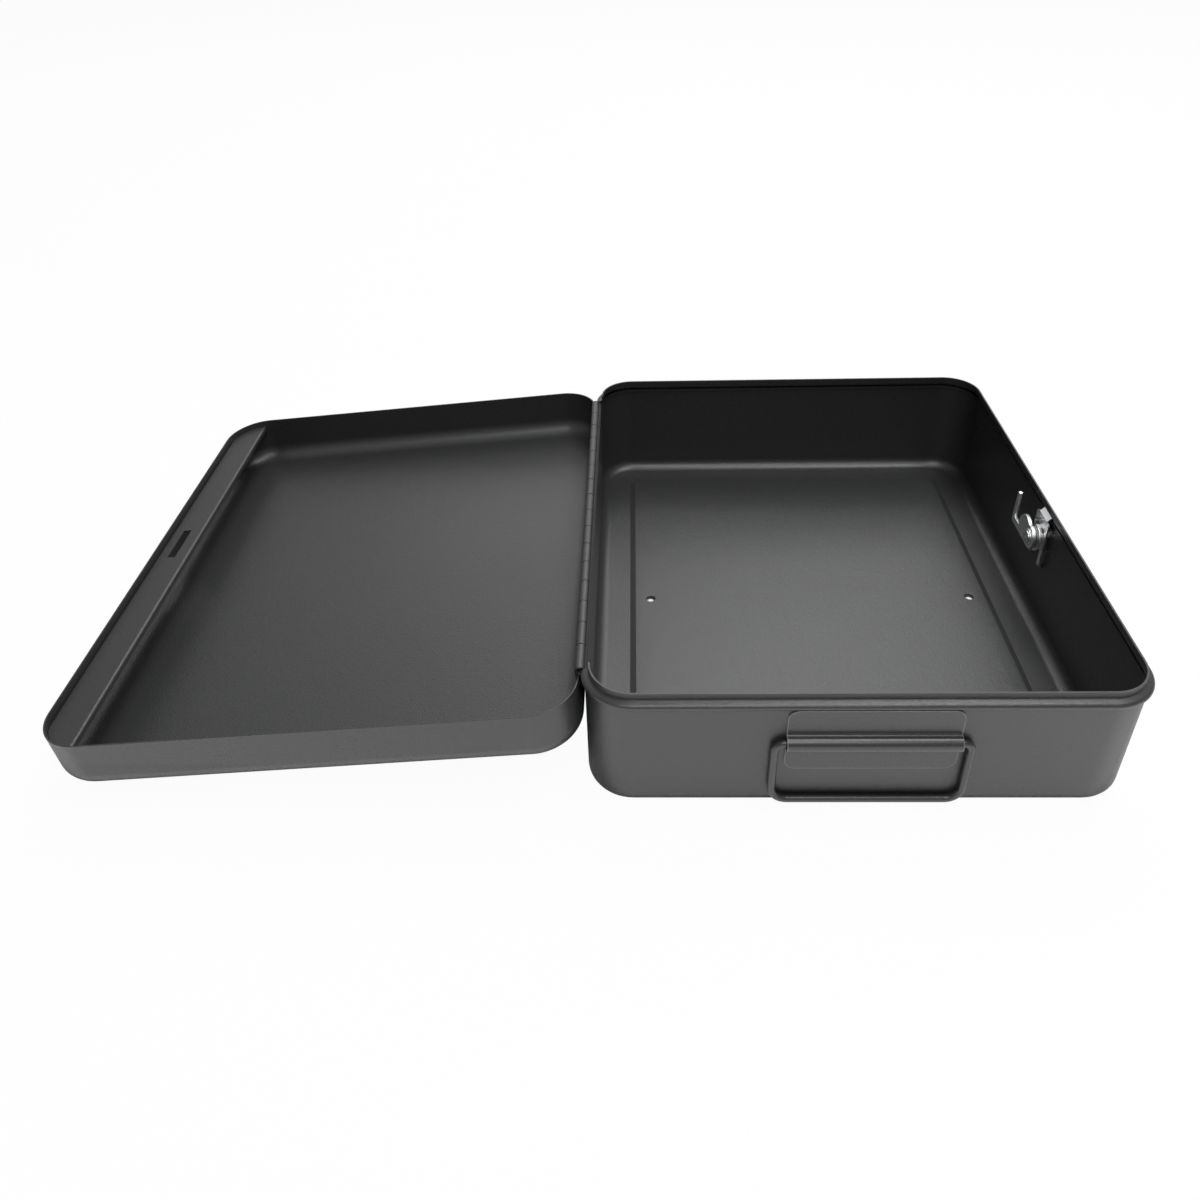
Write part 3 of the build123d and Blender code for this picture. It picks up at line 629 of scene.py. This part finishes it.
zinc = bare_metal("zinc_plate", (0.86, 0.87, 0.88), 0.38)
nickel = bare_metal("nickel_plate", (0.74, 0.74, 0.73), 0.22)
spring_steel = bare_metal("spring_steel", (0.45, 0.45, 0.46), 0.35)
brass = bare_metal("wafer_brass", (0.75, 0.58, 0.30), 0.3)
finishes = {
    "lock_housing": nickel,
    "lock_plug": nickel,
    "lock_clip": zinc,
    "stop_washer": zinc,
    "spring_washer": spring_steel,
    "cam_hook": zinc,
    "cam_washer": zinc,
}
for number in range(1, 5):
    finishes[f"wafer_{number}"] = brass
    finishes[f"wafer_spring_{number}"] = spring_steel
for node, finish in finishes.items():
    metal_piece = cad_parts[node]
    metal_piece.data.materials.clear()
    metal_piece.data.materials.append(finish)


def eased_copy(node, material, body, slot, width):
    """A copy of a lock piece with its sharp corners eased, as tumbling and plating leave them."""
    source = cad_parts[node]
    piece = bpy.data.objects.new(f"{node}_eased", source.data.copy())
    bpy.context.scene.collection.objects.link(piece)
    bpy.ops.object.select_all(action="DESELECT")
    piece.select_set(True)
    bpy.context.view_layer.objects.active = piece
    bpy.ops.object.mode_set(mode="EDIT")
    bpy.ops.mesh.select_all(action="SELECT")
    bpy.ops.mesh.remove_doubles(threshold=0.0005 * mm)
    bpy.ops.mesh.dissolve_limited(angle_limit=radians(0.6))
    bpy.ops.object.mode_set(mode="OBJECT")
    modify(
        piece, "BEVEL", limit_method="ANGLE", angle_limit=radians(50), width=width, segments=2,
        use_clamp_overlap=True,
    )
    finish_piece(piece, material, body, node, slot=slot, angle=40)


# the cam is one blanking: a hub, a swelling beside it, an arm and an upright finger
cam_face, cam_sheet = 125.5 * mm, 2 * mm
arm_low, arm_wide, arm_reach = 6.8 * mm, 4.2 * mm, 28.2 * mm
finger_wide, finger_tall = 3.2 * mm, 21.6 * mm
cam_middle = cam_face + cam_sheet / 2
cam_foot = lock_z - arm_low

finger_tip_round, cam_heel_round = 1.44 * mm, 2 * mm
hub_radius, lobe_radius, lobe_out = 7.2 * mm, 9 * mm, 8.3 * mm
finger_y = lock_y + arm_reach - finger_wide / 2
finger_top = cam_foot + finger_tall - 0.01 * mm

cam = start_box("cam_plate", cam_sheet, finger_wide, finger_tall, (cam_middle, finger_y, cam_foot))
pick(cam, "EDGE", lambda p, e: p.z > finger_top and abs(p.x - cam_middle) < 0.01 * mm)
bpy.ops.mesh.bevel(offset=finger_tip_round, segments=6, affect="EDGES")
pick(cam, "EDGE", lambda p, e: p.z < cam_foot + 0.01 * mm and p.y > lock_y + arm_reach - 0.01 * mm)
bpy.ops.mesh.bevel(offset=cam_heel_round, segments=6, affect="EDGES")
bpy.ops.object.mode_set(mode="OBJECT")
arm_length = arm_reach - 2.2 * mm
arm = start_box("cam_arm", cam_sheet, arm_length, arm_wide, (cam_middle, lock_y + arm_length / 2, cam_foot))
bpy.ops.object.mode_set(mode="OBJECT")
blanks = [arm]
for out, radius in ((0, hub_radius), (lobe_out, lobe_radius)):
    bpy.ops.object.select_all(action="DESELECT")
    bpy.ops.mesh.primitive_cylinder_add(
        vertices=64,
        radius=radius,
        depth=cam_sheet,
        location=(cam_middle, lock_y + out, lock_z),
        rotation=(0, pi / 2, 0),
    )
    disc = bpy.context.object
    bpy.ops.object.transform_apply(location=True, rotation=True, scale=True)
    bpy.ops.object.mode_set(mode="EDIT")
    bpy.ops.mesh.select_all(action="SELECT")
    bpy.ops.mesh.bisect(plane_co=(0, 0, cam_foot), plane_no=(0, 0, -1), clear_outer=True, use_fill=True)
    bpy.ops.object.mode_set(mode="OBJECT")
    blanks.append(disc)
for blank in blanks:
    modify(cam, "BOOLEAN", object=blank, operation="UNION", solver="EXACT")
    bpy.data.objects.remove(blank)
bpy.ops.object.mode_set(mode="EDIT")
bpy.ops.mesh.select_all(action="SELECT")
bpy.ops.mesh.remove_doubles(threshold=0.03 * mm)
bpy.ops.mesh.dissolve_limited(angle_limit=radians(0.5))
bpy.ops.object.mode_set(mode="OBJECT")
modify(cam, "BEVEL", limit_method="ANGLE", angle_limit=radians(50), width=0.22 * mm, segments=2)
finish_piece(cam, zinc, "cam", "cam_hook", slot="zinc_plate", angle=40)

eased_copy("stop_washer", zinc, "cam", "zinc_plate", 0.15 * mm)
eased_copy("cam_washer", zinc, "cam", "zinc_plate", 0.10 * mm)
eased_copy("lock_plug", nickel, "cam", "lock_body", 0.15 * mm)
eased_copy("lock_housing", nickel, "base", "lock_body", 0.25 * mm)
